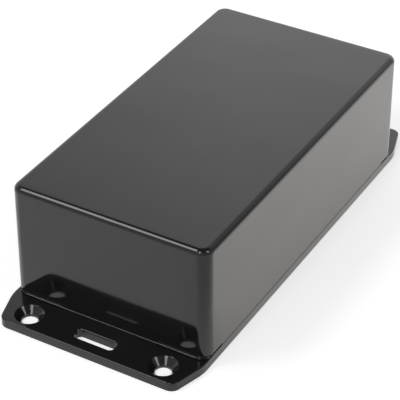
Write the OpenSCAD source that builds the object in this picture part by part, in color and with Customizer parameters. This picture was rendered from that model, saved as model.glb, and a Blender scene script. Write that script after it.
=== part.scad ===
// Flanged plastic project box: a deep one-piece shell screwed down on a flat lid
// whose two ends run on as mounting flanges.
// The box stands on its lid. Z = 0 is the lid's underside, at its centre.
// Y runs along the box and X across it.

/* [Box] */
// Length of the closed box without its flanges, along Y
body_l = 150; // [130:1:220]
// Width of the closed box, along X
body_w = 80; // [70:1:120]
// Height of the closed box, lid included
body_h = 49.5; // [36:0.5:70]
// Radius of the upright corners at the shell's foot
corner_r = 4.7; // [4.4:0.1:7]
// Radius of the edge round the closed top
top_edge_r = 2.25; // [1:0.05:2.8]
// How far the moulded walls lean in between their foot and the closed top
lean = 0.2; // [0.05:0.05:0.4]

/* [Shell walls] */
// Thickness of the side walls
wall = 2.4; // [2.2:0.1:2.6]
// Thickness of the closed top
top_t = 2.4; // [1.8:0.1:4]
// Radius inside the top, where the walls run into it
inner_edge_r = 0.8; // [0.4:0.1:0.8]
// Depth of the step inside the foot that takes the lid's lip
rebate_w = 1.2; // [0.9:0.1:1.4]
// Height of that step
rebate_h = 2.6; // [2:0.1:4]
// Height of the dark groove that hides the seam round the foot
seam_h = 0.3; // [0.2:0.05:0.6]
// Depth of the seam groove
seam_d = 0.6; // [0.3:0.1:0.7]

/* [Flanged lid] */
// Thickness of the lid at its edges and flanges
flange_t = 3.5; // [2.8:0.1:5]
// How far each flange runs past the end of the box
flange_reach = 16.1; // [14:0.1:24]
// Width across the flange's outer corners
flange_tip_w = 73.6; // [62:0.2:78]
// Radius of the bend where the flange starts to narrow
bend_r = 16; // [8:1:24]
// Radius of the flange's outer corners
flange_corner_r = 3.7; // [2:0.1:6]
// Rounding of the upper edges of the flanges and pads
lid_edge_r = 0.35; // [0.1:0.05:0.5]
// Height of the round-edged plinth that the shell's foot stands on, above the flanges
plinth_step = 0.2; // [0.1:0.1:1]
// Height of the four corner pads above the plinth
pad_step = 0.6; // [0.6:0.1:1.4]
// How far the corner pads stand back from the plinth's edge
pad_setback = 0.4; // [0.3:0.05:0.5]
// Length of a corner pad along the short end
pad_x = 20; // [15:0.5:24]
// Length of a corner pad along the long side
pad_y = 10.5; // [10.5:0.5:16]
// Thickness of the lid's floor inside the box
floor_t = 2.6; // [2:0.1:3.2]
// Width left at full thickness between that floor and the lid's edges or pads
floor_rim = 4.5; // [3.5:0.5:8]
// Height of the lip above the plinth
lip_h = 2.2; // [1.4:0.1:2.4]
// Thickness of the lip
lip_t = 1.4; // [1:0.1:1.8]

/* [Flange holes] */
// Hole to hole across the flanges, along X
hole_pitch_x = 55.6; // [44:0.1:58]
// From a flange's outer edge to the middle of its holes and slot
hole_inset = 7.1; // [7:0.1:9]
// Diameter of the mounting holes
hole_d = 6; // [3:0.1:6.5]
// Diameter of the mounting holes' countersinks
countersink_d = 10.8; // [9:0.1:11.4]
// Straight stretch of a mounting hole below its countersink
hole_land = 1; // [0.6:0.1:1.6]
// Length of the strap slot between the holes
slot_l = 16.4; // [12:0.1:20]
// Width of the strap slot
slot_w = 4.6; // [4.4:0.1:6]
// Radius of the slot's corners
slot_corner_r = 1.6; // [0.8:0.1:2]
// Chamfer round the slot's upper rim
slot_chamfer = 0.3; // [0.1:0.05:0.5]

/* [Lid screws] */
// Diameter of the screws' shanks
screw_d = 3.5; // [3:0.1:3.8]
// Length of the screws, head included
screw_l = 12; // [11:0.5:14]
// Diameter of the countersunk heads
head_d = 6.8; // [6:0.1:7.2]
// Height of the heads' straight rim
head_rim = 0.25; // [0.15:0.05:0.4]
// How deep the heads sit below the lid's underside
head_sink = 0.15; // [0.1:0.05:0.4]
// Length across the cross recess
recess_l = 3.8; // [3:0.1:4.4]
// Width of the cross recess's slots
recess_w = 0.9; // [0.6:0.1:1.2]
// Depth of the cross recess
recess_depth = 1.3; // [0.8:0.1:1.6]
// Diameter of the brass inserts
insert_d = 5.2; // [5:0.1:5.6]
// Length of the brass inserts
insert_l = 6.5; // [5:0.1:7]
// Width of the groove round the middle of each insert
groove_w = 1.3; // [1:0.1:2]
// Depth of that groove
groove_depth = 0.4; // [0.2:0.05:0.5]

/* [Inside the shell] */
// From the outside walls to the middle of each screw post
post_inset = 6.2; // [6:0.1:7]
// Diameter of a screw post at its free end
post_d = 8.4; // [8:0.1:9]
// Card guides along each long wall
guides_long = 5; // [1:1:6]
// Card guides along each end wall
guides_end = 2; // [1:1:3]
// Distance from one card guide to the next
guide_pitch = 20; // [14:1:20]
// Thickness of the boards that the card guides hold
board_t = 1.6; // [1:0.1:2]
// Thickness of a card guide's ribs
rib_t = 1.2; // [0.8:0.1:1.6]
// How far the ribs stand out of the wall
rib_depth = 1.5; // [1:0.1:2]
// Board standoffs, centre to centre along X
standoff_pitch_x = 50; // [30:1:54]
// Board standoffs, centre to centre along Y
standoff_pitch_y = 100; // [60:1:100]
// Height of the standoffs
standoff_h = 5; // [3:0.5:10]
// Diameter of the standoffs at their free ends
standoff_d = 6; // [5:0.1:8]
// How much wider a standoff's radius grows towards its root
standoff_flare = 0.5; // [0.2:0.1:0.8]
// Diameter of the standoffs' screw holes
pilot_d = 2.5; // [2:0.1:3]

/* [Clearances] */
// Gap between the lid's lip and the shell
lip_gap = 0.15; // [0.1:0.05:0.3]
// Gap between a corner pad and the notch over it
pad_gap = 0.15; // [0.1:0.05:0.3]
// Gap all round a screw's shank in the lid
screw_gap = 0.25; // [0.15:0.05:0.4]
// Gap all round a screw's shank in its insert
thread_gap = 0.05; // [0.02:0.01:0.09]
// Gap under a seated screw head and round a seated insert
seat_gap = 0.04; // [0.01:0.01:0.05]
// Room for a board in its card guide
board_gap = 0.3; // [0.2:0.05:0.6]
// Depth of an insert's mouth inside its post
insert_sink = 0.3; // [0.1:0.1:1]
// Free depth past the tip of a screw
tip_room = 1.5; // [1:0.5:3]

/* [Hidden] */

// Smoothness of round shapes, of the lid's plate and of small edge roundings
$fn = 96;
plate_fn = 48;
edge_fn = 16;
// How far cuts and joined solids run past each other, so that they share no face
bite = 1;
// Near-black ABS
plastic = [0.07, 0.07, 0.075];

plinth_z = flange_t + plinth_step;
pad_z = plinth_z + pad_step;
shell_h = body_h - plinth_z;
inside_z = body_h - top_t;
half_l = body_l / 2;
half_w = body_w / 2;
flange_y = half_l + flange_reach;
hole_y = flange_y - hole_inset;
post_x = half_w - post_inset;
post_y = half_l - post_inset;
post_r = post_d / 2;
head_r = head_d / 2;
screw_r = screw_d / 2;
insert_r = insert_d / 2;
guide_slot = board_t + board_gap;
guide_z = plinth_z + rebate_h + rib_t;
// Where the walls' inner faces are, up at the closed top
inner_x = half_w - wall - lean;
inner_y = half_l - wall - lean;
// Where the lip's outer faces are
lip_x = half_w - wall + rebate_w - lip_gap;
lip_y = half_l - wall + rebate_w - lip_gap;

// ---------- shapes that several pieces share ----------

// Puts its children in all four quadrants
module four_ways() {
    for (sx = [0, 1], sy = [0, 1])
        mirror([sx, 0, 0])
            mirror([0, sy, 0])
                children();
}

// Half section of a block: flat foot, a side that leans in, and a round upper edge
module side_profile(half, h, lean_in, edge_r) {
    arc_x = half - lean_in - edge_r;
    arc_y = h - edge_r;
    polygon([[0, 0], [half, 0], [half - lean_in, arc_y], [arc_x, arc_y], [arc_x, h], [0, h]]);
    if (edge_r > 0)
        translate([arc_x, arc_y])
            intersection() {
                circle(r = edge_r, $fn = edge_fn);
                square(edge_r);
            }
}

// Block with round upright corners, sides that lean in, and a round upper edge
module rounded_block(l, w, h, r, lean_in = 0, edge_r = 0) {
    for (m = [0, 1]) {
        mirror([m, 0, 0])
            rotate([90, 0, 0])
                linear_extrude(l - 2 * r, center = true)
                    side_profile(w / 2, h, lean_in, edge_r);
        mirror([0, m, 0])
            rotate([90, 0, 90])
                linear_extrude(w - 2 * r, center = true)
                    side_profile(l / 2, h, lean_in, edge_r);
    }
    four_ways()
        translate([w / 2 - r, l / 2 - r, 0])
            rotate_extrude(angle = 90)
                side_profile(r, h, lean_in, edge_r);
}

// The box's footprint, drawn in from the outside walls by an inset
module footprint_block(inset, h, lean_in = 0, edge_r = 0) {
    rounded_block(body_l - 2 * inset, body_w - 2 * inset, h, corner_r - inset, lean_in, edge_r);
}

// One corner of the box: where a pad rises and the shell's foot is notched
module corner_zone(z0, z1, gap = 0) {
    translate([half_w - pad_x - gap, half_l - pad_y - gap, z0])
        cube([pad_x + gap + bite, pad_y + gap + bite, z1 - z0]);
}

// ---------- shell ----------

// Everything below the shell's foot: the notches over the lid's pads and the seam groove
module foot_cut() {
    difference() {
        union() {
            translate([-half_w - bite, -half_l - bite, plinth_z - bite])
                cube([body_w + 2 * bite, body_l + 2 * bite, bite + seam_h]);
            four_ways()
                corner_zone(plinth_z - bite, pad_z + seam_h, pad_gap);
        }
        translate([0, 0, plinth_z - 2 * bite])
            footprint_block(seam_d, pad_step + seam_h + 3 * bite);
    }
    four_ways()
        corner_zone(plinth_z - bite, pad_z, pad_gap);
}

// A tapered post that fills the corner behind it, cut off inside the walls
module screw_post() {
    h = inside_z - pad_z + bite;
    intersection() {
        translate([post_x, post_y, pad_z]) {
            cylinder(r1 = post_r, r2 = post_r + lean, h = h);
            cube([post_inset, post_inset, h]);
        }
        translate([0, 0, plinth_z])
            footprint_block(wall / 2, shell_h - top_t / 2, lean);
    }
}

// The seat of a brass insert, and room for the screw's tip past it
module post_bore() {
    tip_z = head_sink + screw_l + tip_room;
    translate([post_x, post_y, pad_z - bite])
        cylinder(r = insert_r + seat_gap, h = bite + insert_sink + insert_l);
    translate([post_x, post_y, pad_z])
        cylinder(r = screw_r + screw_gap, h = tip_z - pad_z);
}

// A pair of upright ribs that hold a board's edge, on the wall at the given distance
module card_guide(wall_at) {
    for (side = [-1, 1])
        translate([
            wall_at - rib_depth,
            side * (guide_slot + rib_t) / 2 - rib_t / 2,
            guide_z
        ])
            cube([rib_depth + wall / 2, rib_t, inside_z - guide_z + top_t / 2]);
}

module card_guides() {
    for (m = [0, 1], i = [0 : guides_long - 1])
        mirror([m, 0, 0])
            translate([0, (i - (guides_long - 1) / 2) * guide_pitch, 0])
                card_guide(inner_x);
    for (m = [0, 1], i = [0 : guides_end - 1])
        mirror([0, m, 0])
            translate([(i - (guides_end - 1) / 2) * guide_pitch, 0, 0])
                rotate([0, 0, 90])
                    card_guide(inner_y);
}

// A boss inside the top that a circuit board screws down to
module standoff() {
    translate([standoff_pitch_x / 2, standoff_pitch_y / 2, inside_z - standoff_h])
        cylinder(d1 = standoff_d, d2 = standoff_d + 2 * standoff_flare, h = standoff_h + top_t / 2);
}

module standoff_bore() {
    translate([standoff_pitch_x / 2, standoff_pitch_y / 2, inside_z - standoff_h - bite])
        cylinder(d = pilot_d, h = standoff_h + bite);
}

module shell() {
    color(plastic)
        difference() {
            union() {
                difference() {
                    translate([0, 0, plinth_z])
                        footprint_block(0, shell_h, lean, top_edge_r);
                    translate([0, 0, plinth_z])
                        footprint_block(wall, shell_h - top_t, lean, inner_edge_r);
                    translate([0, 0, plinth_z - bite])
                        footprint_block(wall - rebate_w, rebate_h + bite);
                }
                four_ways()
                    screw_post();
                card_guides();
                four_ways()
                    standoff();
            }
            foot_cut();
            four_ways()
                post_bore();
            four_ways()
                standoff_bore();
        }
}

// ---------- flanged lid ----------

// Round disc with the lid's thickness and upper edge
module plate_disc(r) {
    rotate_extrude($fn = plate_fn)
        side_profile(r, flange_t, 0, lid_edge_r);
}

// The lid's plate: straight beside the box, then closing in towards the flanges' corners
module plate() {
    hull()
        four_ways() {
            translate([half_w - bend_r, half_l, 0])
                plate_disc(bend_r);
            translate([flange_tip_w / 2 - flange_corner_r, flange_y - flange_corner_r, 0])
                plate_disc(flange_corner_r);
        }
}

// The tongues that stand inside the shell's foot, between the corner pads
module lip() {
    side_l = 2 * (half_l - pad_y - pad_gap);
    end_l = 2 * (half_w - pad_x - pad_gap);
    for (m = [0, 1]) {
        mirror([m, 0, 0])
            translate([lip_x - lip_t, -side_l / 2, floor_t])
                cube([lip_t, side_l, plinth_z + lip_h - floor_t]);
        mirror([0, m, 0])
            translate([-end_l / 2, lip_y - lip_t, floor_t])
                cube([end_l, lip_t, plinth_z + lip_h - floor_t]);
    }
}

// Through hole and countersink for a mounting screw, driven from above
module mounting_hole() {
    hole_r = hole_d / 2;
    sink_r = countersink_d / 2;
    translate([hole_pitch_x / 2, hole_y, 0]) {
        translate([0, 0, -bite])
            cylinder(r = hole_r, h = flange_t + 2 * bite);
        translate([0, 0, hole_land])
            cylinder(r1 = hole_r, r2 = sink_r, h = flange_t - hole_land);
        translate([0, 0, flange_t])
            cylinder(r = sink_r, h = bite);
    }
}

// Slot for a strap or cable tie, with a chamfered upper rim
module strap_slot() {
    translate([0, hole_y, -bite])
        rounded_block(slot_w, slot_l, flange_t + 2 * bite, slot_corner_r);
    translate([0, hole_y, flange_t - slot_chamfer])
        rounded_block(slot_w, slot_l, 2 * slot_chamfer, slot_corner_r, -2 * slot_chamfer);
}

// Clearance hole and countersink for a lid screw, driven from below
module lid_screw_hole() {
    shank_r = screw_r + screw_gap;
    sink_r = head_r + head_sink + head_rim + seat_gap;
    translate([post_x, post_y, 0]) {
        translate([0, 0, -bite])
            cylinder(r = shank_r, h = pad_z + 2 * bite);
        cylinder(r1 = sink_r, r2 = shank_r, h = sink_r - shank_r);
        translate([0, 0, -bite])
            cylinder(r = sink_r, h = bite);
    }
}

// The plate with the plinth and the corner pads on it, cored out inside the box
module stepped_plate() {
    difference() {
        union() {
            plate();
            footprint_block(0, plinth_z, 0, plinth_step);
            intersection() {
                footprint_block(pad_setback, pad_z, 0, lid_edge_r);
                four_ways()
                    corner_zone(0, pad_z + bite);
            }
        }
        translate([0, 0, floor_t])
            rounded_block(body_l - 2 * (pad_y + floor_rim), body_w - 2 * floor_rim, pad_z, corner_r);
    }
}

module flanged_lid() {
    color(plastic)
        difference() {
            union() {
                stepped_plate();
                lip();
            }
            four_ways()
                mounting_hole();
            four_ways()
                lid_screw_hole();
            for (m = [0, 1])
                mirror([0, m, 0])
                    strap_slot();
        }
}

// ---------- fasteners ----------

// A countersunk machine screw, head down
module lid_screw() {
    shank_z = head_rim + head_r - screw_r;
    tip_chamfer = screw_r / 3;
    difference() {
        rotate_extrude()
            polygon([
                [0, 0], [head_r, 0], [head_r, head_rim], [screw_r, shank_z],
                [screw_r, screw_l - tip_chamfer], [screw_r - tip_chamfer, screw_l], [0, screw_l]
            ]);
        for (turn = [0, 90])
            rotate([0, 0, turn])
                translate([-recess_l / 2, -recess_w / 2, -bite])
                    cube([recess_l, recess_w, bite + recess_depth]);
    }
}

module lid_screws() {
    color([0.62, 0.62, 0.64])
        four_ways()
            translate([post_x, post_y, head_sink])
                lid_screw();
}

// A brass insert, held by the plastic in the groove round its middle
module threaded_insert() {
    bore_r = screw_r + thread_gap;
    groove_r = insert_r - groove_depth;
    groove_z = (insert_l - groove_w) / 2;
    lead = groove_depth;
    rotate_extrude()
        polygon([
            [bore_r, 0], [insert_r, 0],
            [insert_r, groove_z], [groove_r, groove_z],
            [groove_r, groove_z + groove_w], [insert_r, groove_z + groove_w],
            [insert_r, insert_l - lead], [insert_r - lead, insert_l], [bore_r, insert_l]
        ]);
}

module threaded_inserts() {
    color([0.72, 0.58, 0.28])
        four_ways()
            translate([post_x, post_y, pad_z + insert_sink])
                threaded_insert();
}

shell();
flanged_lid();
lid_screws();
threaded_inserts();
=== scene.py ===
"""Glossy black plastic project box on a flanged lid: finish, fasteners' threads, light and camera."""
from math import cos, pi, radians, sin

import bmesh
import bpy
from mathutils import Matrix, Vector


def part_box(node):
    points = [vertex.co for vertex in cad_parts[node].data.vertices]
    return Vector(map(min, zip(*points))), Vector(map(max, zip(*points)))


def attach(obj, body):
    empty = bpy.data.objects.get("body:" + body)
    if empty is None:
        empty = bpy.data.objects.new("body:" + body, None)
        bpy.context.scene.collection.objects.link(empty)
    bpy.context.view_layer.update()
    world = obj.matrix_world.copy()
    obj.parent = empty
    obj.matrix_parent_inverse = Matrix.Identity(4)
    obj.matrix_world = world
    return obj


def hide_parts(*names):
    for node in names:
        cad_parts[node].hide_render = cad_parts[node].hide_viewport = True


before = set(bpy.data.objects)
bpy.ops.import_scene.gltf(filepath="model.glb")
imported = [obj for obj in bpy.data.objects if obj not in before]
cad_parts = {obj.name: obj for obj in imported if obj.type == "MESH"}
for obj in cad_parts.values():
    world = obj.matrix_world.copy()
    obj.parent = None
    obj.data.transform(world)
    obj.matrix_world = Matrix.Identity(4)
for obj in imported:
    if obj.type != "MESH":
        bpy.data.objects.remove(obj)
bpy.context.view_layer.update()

MM = 0.001
scene = bpy.context.scene

# The lid screws: M3.5 with a cross recess, as the part's source sizes them
SCREW_R = 1.75 * MM
SCREW_LENGTH = 12.0 * MM
SCREW_SIDES = 40
HEAD_R = 3.4 * MM
HEAD_RIM = 0.25 * MM
HEAD_EDGE = 0.08 * MM
SHANK_START = HEAD_RIM + HEAD_R - SCREW_R
TIP_CHAMFER = SCREW_R / 3
THREAD_PITCH = 0.6 * MM
THREAD_DEPTH = 0.36 * MM
THREAD_ROW = 0.06 * MM
RECESS_LENGTH = 3.8 * MM
RECESS_WIDTH = 0.9 * MM
RECESS_DEPTH = 1.3 * MM
RECESS_POINT = 1.25 * RECESS_DEPTH

# Black plastic: its two shades of black, the span of its roughness, and the size of its smudges and waves
PLASTIC_DARK = (0.0078, 0.0080, 0.0083, 1.0)
PLASTIC_LIGHT = (0.0106, 0.0104, 0.0103, 1.0)
PLASTIC_GLOSS = (0.07, 0.10)
PLASTIC_IOR = 1.57
SMUDGE_SCALE = 45.0
WAVE_SCALE = 28.0
WAVE_DEPTH = 0.14 * MM
# In the shading only: how high up and how deep the walls flare out at their foot, and how wide edges soften
FLARE_HEIGHT = 24.0 * MM
FLARE_DEPTH = 0.62 * MM
EDGE_SOFTENING = 0.3 * MM

# Dust: cells per metre, radius of a speck, the share of cells that have one, and its colour and roughness
DUST_CELLS = 42.0
DUST_RADIUS = 0.17 * MM
DUST_SHARE = 0.12
DUST_COLOUR = (0.34, 0.34, 0.33, 1.0)
DUST_ROUGHNESS = 0.8

# Metals: grain and tarnish scales, and the depths of the relief in their shading
STEEL_GRAIN = 2500.0
STEEL_TARNISH = 320.0
STEEL_RELIEF = 0.015 * MM
BRASS_GRAIN = 1800.0
BRASS_TURNING = pi / (10.0 * THREAD_PITCH)
BRASS_RELIEF = 0.08 * MM

# Faces of a CAD node that meet closer than this are joined, and edges sharper than this stay sharp
JOIN_DISTANCE = 0.002 * MM
SHARP_ANGLE = radians(32.0)


# ---------- camera ----------

CAMERA_AZIMUTH = radians(30.1)
CAMERA_ELEVATION = radians(35.37)
CAMERA_DISTANCE = 0.6656
CAMERA_TARGET = Vector((-0.0076, 0.0022, 0.0076))
LENS_MM = 155.6
SENSOR_MM = 36.0
CLIP_START = 0.05
CLIP_END = 20.0


def make_camera():
    back = Vector((
        sin(CAMERA_AZIMUTH) * cos(CAMERA_ELEVATION),
        -cos(CAMERA_AZIMUTH) * cos(CAMERA_ELEVATION),
        sin(CAMERA_ELEVATION),
    ))
    data = bpy.data.cameras.new("camera")
    data.lens = LENS_MM
    data.sensor_width = SENSOR_MM
    data.clip_start = CLIP_START
    data.clip_end = CLIP_END
    camera = bpy.data.objects.new("camera", data)
    scene.collection.objects.link(camera)
    camera.location = CAMERA_TARGET + CAMERA_DISTANCE * back
    camera.rotation_euler = back.to_track_quat("Z", "Y").to_euler()
    scene.camera = camera


# ---------- node helpers ----------

def new_material(name):
    material = bpy.data.materials.new(name)
    material.use_nodes = True
    tree = material.node_tree
    tree.nodes.clear()
    output = tree.nodes.new("ShaderNodeOutputMaterial")
    shader = tree.nodes.new("ShaderNodeBsdfPrincipled")
    tree.links.new(shader.outputs["BSDF"], output.inputs["Surface"])
    return material, tree, shader


def add_node(tree, kind, inputs=None, **settings):
    node = tree.nodes.new(kind)
    for name, value in settings.items():
        setattr(node, name, value)
    for name, value in (inputs or {}).items():
        if isinstance(value, bpy.types.NodeSocket):
            tree.links.new(value, node.inputs[name])
        else:
            node.inputs[name].default_value = value
    return node


def object_coordinates(tree):
    return add_node(tree, "ShaderNodeTexCoord").outputs["Object"]


def noise(tree, where, scale, detail=2.0):
    node = add_node(tree, "ShaderNodeTexNoise", {"Vector": where, "Scale": scale, "Detail": detail})
    return node.outputs["Fac"]


def remap(tree, value, low, high, to_low, to_high):
    node = add_node(
        tree, "ShaderNodeMapRange",
        {"Value": value, "From Min": low, "From Max": high, "To Min": to_low, "To Max": to_high},
    )
    return node.outputs["Result"]


def mix_colour(tree, factor, first, second):
    node = add_node(tree, "ShaderNodeMix", data_type="RGBA")
    inputs = ((node.inputs[0], factor), (node.inputs[6], first), (node.inputs[7], second))
    for socket, value in inputs:
        if isinstance(value, bpy.types.NodeSocket):
            tree.links.new(value, socket)
        else:
            socket.default_value = value
    return node.outputs[2]


def multiply(tree, first, second):
    return add_node(tree, "ShaderNodeMath", {0: first, 1: second}, operation="MULTIPLY").outputs["Value"]


def along(tree, place, side):
    """How far a place or direction reaches towards a side."""
    node = add_node(tree, "ShaderNodeVectorMath", {0: place, 1: side.normalized()}, operation="DOT_PRODUCT")
    return node.outputs["Value"]


def bump(tree, height, distance, strength=1.0, normal=None):
    inputs = {"Height": height, "Distance": distance, "Strength": strength}
    if normal is not None:
        inputs["Normal"] = normal
    return add_node(tree, "ShaderNodeBump", inputs).outputs["Normal"]


# ---------- materials ----------

def dust(tree, where):
    """1 on a few tiny specks that lie far apart, 0 elsewhere."""
    cells = add_node(tree, "ShaderNodeTexVoronoi", {"Vector": where, "Scale": DUST_CELLS})
    near = add_node(
        tree, "ShaderNodeMath", {0: cells.outputs["Distance"], 1: DUST_RADIUS * DUST_CELLS},
        operation="LESS_THAN",
    )
    pick = add_node(tree, "ShaderNodeSeparateColor", {"Color": cells.outputs["Color"]})
    kept = add_node(
        tree, "ShaderNodeMath", {0: pick.outputs["Red"], 1: DUST_SHARE}, operation="LESS_THAN"
    )
    return multiply(tree, near.outputs["Value"], kept.outputs["Value"])


def plastic_relief(tree, where):
    """Softened edges, a flare at the walls' foot and slow waves, all in the shading only."""
    edges = add_node(tree, "ShaderNodeBevel", {"Radius": EDGE_SOFTENING}, samples=6).outputs["Normal"]
    up = add_node(tree, "ShaderNodeSeparateXYZ", {"Vector": where}).outputs["Z"]
    low = remap(tree, up, 0.0, FLARE_HEIGHT, 1.0, 0.0)
    flare = bump(tree, multiply(tree, low, low), FLARE_DEPTH, normal=edges)
    return bump(tree, noise(tree, where, WAVE_SCALE, 1.0), WAVE_DEPTH, normal=flare)


def black_plastic():
    material, tree, shader = new_material("black_plastic")
    where = object_coordinates(tree)
    smudge = noise(tree, where, SMUDGE_SCALE, 3.0)
    specks = dust(tree, where)
    tint = mix_colour(tree, smudge, PLASTIC_DARK, PLASTIC_LIGHT)
    tree.links.new(mix_colour(tree, specks, tint, DUST_COLOUR), shader.inputs["Base Color"])
    gloss = remap(tree, smudge, 0.3, 0.7, *PLASTIC_GLOSS)
    tree.links.new(remap(tree, specks, 0.0, 1.0, gloss, DUST_ROUGHNESS), shader.inputs["Roughness"])
    shader.inputs["IOR"].default_value = PLASTIC_IOR
    tree.links.new(plastic_relief(tree, where), shader.inputs["Normal"])
    return material


def plated_steel():
    material, tree, shader = new_material("plated_steel")
    where = object_coordinates(tree)
    grain = noise(tree, where, STEEL_GRAIN, 3.0)
    tarnish = noise(tree, where, STEEL_TARNISH, 2.0)
    tint = mix_colour(tree, tarnish, (0.50, 0.51, 0.53, 1.0), (0.66, 0.66, 0.64, 1.0))
    tree.links.new(tint, shader.inputs["Base Color"])
    shader.inputs["Metallic"].default_value = 1.0
    tree.links.new(remap(tree, grain, 0.3, 0.7, 0.2, 0.38), shader.inputs["Roughness"])
    tree.links.new(bump(tree, grain, STEEL_RELIEF), shader.inputs["Normal"])
    return material


def brass():
    material, tree, shader = new_material("brass")
    where = object_coordinates(tree)
    grain = noise(tree, where, BRASS_GRAIN, 3.0)
    tint = mix_colour(tree, grain, (0.66, 0.44, 0.18, 1.0), (0.78, 0.56, 0.26, 1.0))
    tree.links.new(tint, shader.inputs["Base Color"])
    shader.inputs["Metallic"].default_value = 1.0
    tree.links.new(remap(tree, grain, 0.3, 0.7, 0.2, 0.34), shader.inputs["Roughness"])
    turning = add_node(
        tree, "ShaderNodeTexWave", {"Vector": where, "Scale": BRASS_TURNING},
        wave_type="BANDS", bands_direction="Z",
    )
    tree.links.new(bump(tree, turning.outputs["Fac"], BRASS_RELIEF), shader.inputs["Normal"])
    return material


# ---------- lid screws ----------

def thread_height(angle, z):
    """Height of a right-hand thread over its core: 0 in the root, 1 on the crest."""
    turn = (z / THREAD_PITCH - angle / (2 * pi)) % 1.0
    flank = 1.0 - abs(2.0 * turn - 1.0)
    return min(max((flank - 0.15) / 0.7, 0.0), 1.0)


def shank_radius(angle, z):
    """Radius of the threaded shank, which runs out under the head and closes in at the tip."""
    run_out = min((z - SHANK_START) / THREAD_PITCH, 1.0)
    crest = SCREW_R - max(z - (SCREW_LENGTH - TIP_CHAMFER), 0.0)
    core = min(SCREW_R - THREAD_DEPTH * run_out, crest)
    return core + (crest - core) * thread_height(angle, z)


def ring(mesh, z, radius_at):
    return [
        mesh.verts.new((radius_at(angle) * cos(angle), radius_at(angle) * sin(angle), z))
        for angle in (2 * pi * i / SCREW_SIDES for i in range(SCREW_SIDES))
    ]


def bridge(mesh, low, high):
    count = len(low)
    for i in range(count):
        mesh.faces.new((low[i], low[(i + 1) % count], high[(i + 1) % count], high[i]))


def cross_loop(mesh, half_length, half_width, z):
    """The recess's outline, its twelve corners in order round the cross."""
    corners = []
    for quarter in range(4):
        turn = Matrix.Rotation(quarter * pi / 2, 3, "Z")
        for x, y in ((half_length, -half_width), (half_length, half_width), (half_width, half_width)):
            corners.append(mesh.verts.new(turn @ Vector((x, y, z))))
    return corners


def recess(mesh):
    """Cross recess in the head's flat face: tapered slots that end in a point. Returns its upper outline."""
    mouth = cross_loop(mesh, RECESS_LENGTH / 2, RECESS_WIDTH / 2, 0.0)
    floor = cross_loop(mesh, RECESS_LENGTH / 4, RECESS_WIDTH / 3, RECESS_DEPTH)
    bridge(mesh, floor, mouth)
    point = mesh.verts.new((0.0, 0.0, RECESS_POINT))
    for i in range(len(floor)):
        mesh.faces.new((floor[i], point, floor[(i + 1) % len(floor)]))
    return mouth


def screw_mesh():
    """A countersunk screw with a cut thread, its head's face at z = 0 and its tip up."""
    mesh = bmesh.new()
    rim = ring(mesh, 0.0, lambda angle: HEAD_R - HEAD_EDGE)
    previous = rim
    profile = [(HEAD_EDGE, HEAD_R), (HEAD_RIM, HEAD_R), (SHANK_START, SCREW_R)]
    for z, radius in profile:
        current = ring(mesh, z, lambda angle: radius)
        bridge(mesh, previous, current)
        previous = current
    rows = int((SCREW_LENGTH - SHANK_START) / THREAD_ROW)
    for row in range(1, rows + 1):
        z = SHANK_START + (SCREW_LENGTH - SHANK_START) * row / rows
        current = ring(mesh, z, lambda angle: shank_radius(angle, z))
        bridge(mesh, previous, current)
        previous = current
    mesh.faces.new(previous)
    mouth = recess(mesh)
    border = {edge for vertex in rim + mouth for edge in vertex.link_edges if len(edge.link_faces) == 1}
    bmesh.ops.triangle_fill(mesh, edges=list(border), use_beauty=True)
    bmesh.ops.recalc_face_normals(mesh, faces=mesh.faces)
    data = bpy.data.meshes.new("lid_screw")
    mesh.to_mesh(data)
    mesh.free()
    return data


def make_screws(material, smoothing):
    low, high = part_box("lid_screws")
    data = screw_mesh()
    data.materials.append(material)
    for name, x, y in (
        ("near_left", low.x + HEAD_R, low.y + HEAD_R),
        ("near_right", high.x - HEAD_R, low.y + HEAD_R),
        ("far_left", low.x + HEAD_R, high.y - HEAD_R),
        ("far_right", high.x - HEAD_R, high.y - HEAD_R),
    ):
        screw = bpy.data.objects.new("lid_screw_" + name, data)
        scene.collection.objects.link(screw)
        screw.location = (x, y, low.z)
        screw.modifiers.new("smooth", "NODES").node_group = smoothing
        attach(screw, "lid")
        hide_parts("lid_screws")


# ---------- carried-over CAD nodes ----------

def smooth_group():
    """Geometry nodes that join the CAD faces' edges and shade them smooth below an angle."""
    tree = bpy.data.node_groups.new("smooth_below_angle", "GeometryNodeTree")
    tree.interface.new_socket("Geometry", in_out="INPUT", socket_type="NodeSocketGeometry")
    tree.interface.new_socket("Geometry", in_out="OUTPUT", socket_type="NodeSocketGeometry")
    start = tree.nodes.new("NodeGroupInput")
    end = tree.nodes.new("NodeGroupOutput")
    merged = add_node(
        tree, "GeometryNodeMergeByDistance",
        {"Geometry": start.outputs["Geometry"], "Distance": JOIN_DISTANCE},
    )
    faces = add_node(
        tree, "GeometryNodeSetShadeSmooth", {"Geometry": merged.outputs["Geometry"], "Shade Smooth": True}
    )
    angle = tree.nodes.new("GeometryNodeInputMeshEdgeAngle")
    sharp = add_node(
        tree, "FunctionNodeCompare", {"A": angle.outputs["Unsigned Angle"], "B": SHARP_ANGLE},
        operation="GREATER_THAN",
    )
    edges = add_node(
        tree, "GeometryNodeSetShadeSmooth",
        {"Geometry": faces.outputs["Geometry"], "Selection": sharp.outputs["Result"], "Shade Smooth": False},
        domain="EDGE",
    )
    tree.links.new(edges.outputs["Geometry"], end.inputs["Geometry"])
    return tree


def dress(node, material, smoothing):
    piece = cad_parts[node]
    piece.data.materials.clear()
    piece.data.materials.append(material)
    shading = piece.modifiers.new("smooth", "NODES")
    shading.node_group = smoothing
    weighted = piece.modifiers.new("flat faces lead", "WEIGHTED_NORMAL")
    weighted.mode = "FACE_AREA"
    weighted.weight = 100
    weighted.keep_sharp = True


# ---------- floor, world and lamps ----------

# How much of its own white the floor shows to the camera
FLOOR_SHOWN = 0.5
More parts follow.
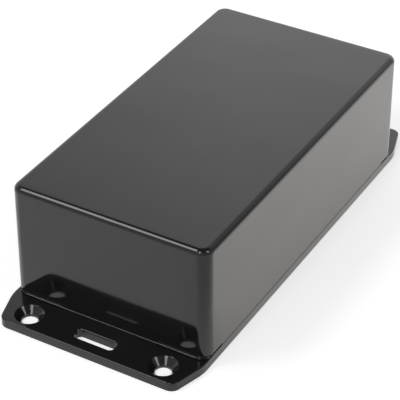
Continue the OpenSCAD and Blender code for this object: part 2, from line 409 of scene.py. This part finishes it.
# Painted light and shade on the floor, seen only in reflections and slightly warm: painted shade in front of
# the box, a painted pool of light far beside it, and painted shade past its near right corner
FLOOR_TINT = (1.03, 1.0, 0.965, 1.0)
FLOOR_FRONT_Y = -0.10
FLOOR_BESIDE_Y = -0.04
FLOOR_FAR_Y = 0.11
FLOOR_FRONT_LEVEL = 0.38
FLOOR_BESIDE_LEVEL = 0.84
CORNER_SIDE = Vector((0.8, -0.6, 0.0))
CORNER_START = 0.07
CORNER_END = 0.12
CORNER_LEVEL = 0.15
# The surroundings' brightness, 1 being white: a room that is dimmer on the right and dark overhead,
# and a glow low down behind the box, which fades out to the left
ROOM_LEVEL = 0.5
RIGHT_SIDE = Vector((1.0, 0.3, 0.0))
RIGHT_LEVEL = 0.32
OVERHEAD_LEVEL = 0.08
OVERHEAD_START = sin(radians(46.0))
OVERHEAD_END = sin(radians(56.0))
GLOW_SIDE = Vector((-0.5, 0.866, 0.0))
GLOW_LOW = sin(radians(28.0))
GLOW_LOW_LEVEL = 1.4
GLOW_HIGH = sin(radians(44.0))
GLOW_HIGH_LEVEL = 0.6
# The glow's edge, from none of it to all of it, and how it fades from its right to its left
GLOW_EDGE = (0.3, 0.65)
GLOW_RIGHT = Vector((0.866, 0.5, 0.0))
GLOW_FADE = (-0.12, 0.02)
GLOW_LEFT_SHARE = 0.72
GLOW_RIGHT_SHARE = 1.04


def light_path(tree):
    return tree.nodes.new("ShaderNodeLightPath").outputs


def make_floor():
    bpy.ops.mesh.primitive_circle_add(vertices=96, radius=3.0, fill_type="NGON", location=(0, 0, 0))
    floor = bpy.context.object
    floor.name = "floor"
    material, tree, shader = new_material("pale_floor")
    shader.inputs["Base Color"].default_value = (0.86, 0.86, 0.86, 1.0)
    shader.inputs["Roughness"].default_value = 0.9
    shader.inputs["Specular IOR Level"].default_value = 0.0
    where = object_coordinates(tree)
    depth = add_node(tree, "ShaderNodeSeparateXYZ", {"Vector": where}).outputs["Y"]
    # Painted light and shade in the floor's emission for reflections: a pool of light beside the box, shade
    # in front of it and past its near right corner
    far = remap(tree, depth, FLOOR_BESIDE_Y, FLOOR_FAR_Y, FLOOR_BESIDE_LEVEL, 1.0)
    beside = remap(tree, depth, FLOOR_FRONT_Y, FLOOR_BESIDE_Y, FLOOR_FRONT_LEVEL, far)
    past = along(tree, where, CORNER_SIDE)
    corner = remap(tree, past, CORNER_START, CORNER_END, 1.0, CORNER_LEVEL)
    rays = light_path(tree)
    tint = mix_colour(tree, rays["Is Glossy Ray"], (1.0, 1.0, 1.0, 1.0), FLOOR_TINT)
    tree.links.new(tint, shader.inputs["Emission Color"])
    painted_floor_light = multiply(tree, rays["Is Glossy Ray"], multiply(tree, beside, corner))
    seen = multiply(tree, rays["Is Camera Ray"], FLOOR_SHOWN)
    both = add_node(tree, "ShaderNodeMath", {0: seen, 1: painted_floor_light}, operation="MAXIMUM")
    tree.links.new(both.outputs["Value"], shader.inputs["Emission Strength"])
    floor.data.materials.append(material)


def make_world():
    """A soft room with a glow behind the box on the left; plain white to the camera."""
    world = bpy.data.worlds.new("studio")
    world.use_nodes = True
    scene.world = world
    tree = world.node_tree
    tree.nodes.clear()
    output = tree.nodes.new("ShaderNodeOutputWorld")
    background = tree.nodes.new("ShaderNodeBackground")
    tree.links.new(background.outputs["Background"], output.inputs["Surface"])
    direction = add_node(tree, "ShaderNodeTexCoord").outputs["Generated"]
    height = add_node(tree, "ShaderNodeSeparateXYZ", {"Vector": direction}).outputs["Z"]
    room = remap(tree, along(tree, direction, RIGHT_SIDE), 0.0, 0.5, ROOM_LEVEL, RIGHT_LEVEL)
    level = remap(tree, height, GLOW_LOW, GLOW_HIGH, GLOW_LOW_LEVEL, GLOW_HIGH_LEVEL)
    rightward = along(tree, direction, GLOW_RIGHT)
    share = remap(tree, rightward, *GLOW_FADE, GLOW_LEFT_SHARE, GLOW_RIGHT_SHARE)
    toward_glow = remap(tree, along(tree, direction, GLOW_SIDE), *GLOW_EDGE, 0.0, 1.0)
    walls = remap(tree, toward_glow, 0.0, 1.0, room, multiply(tree, level, share))
    around = remap(tree, height, OVERHEAD_START, OVERHEAD_END, walls, OVERHEAD_LEVEL)
    shown = remap(tree, light_path(tree)["Is Camera Ray"], 0.0, 1.0, around, 1.0)
    background.inputs["Color"].default_value = (1.0, 1.0, 1.0, 1.0)
    tree.links.new(shown, background.inputs["Strength"])


def make_softbox(name, direction, long_side, width, length, radiance):
    """A rectangular lamp 1 m from the box and facing it; its power follows from how bright it looks."""
    data = bpy.data.lights.new(name, "AREA")
    data.shape = "RECTANGLE"
    data.size = width
    data.size_y = length
    data.energy = radiance * pi * width * length
    lamp = bpy.data.objects.new(name, data)
    scene.collection.objects.link(lamp)
    back = Vector(direction).normalized()
    across = Vector(long_side).cross(back).normalized()
    lamp.location = back
    lamp.rotation_euler = Matrix((across, back.cross(across), back)).transposed().to_euler()


def make_lamps():
    make_softbox("right_softbox", (0.70, -0.05, 0.71), (0, 0, 1), 0.24, 0.50, 3.4)
    make_softbox("front_softbox", (0.05, -0.66, 0.75), (0, 0, 1), 0.24, 0.50, 4.2)
    make_softbox("left_softbox", (-0.41, -0.38, 0.83), (0, 0.92, 0.38), 0.22, 0.48, 5.0)


make_camera()
make_floor()
make_world()
make_lamps()

smoothing = smooth_group()
plastic = black_plastic()
dress("shell", plastic, smoothing)
dress("flanged_lid", plastic, smoothing)
make_screws(plated_steel(), smoothing)
dress("threaded_inserts", brass(), smoothing)

scene.view_settings.view_transform = "Standard"
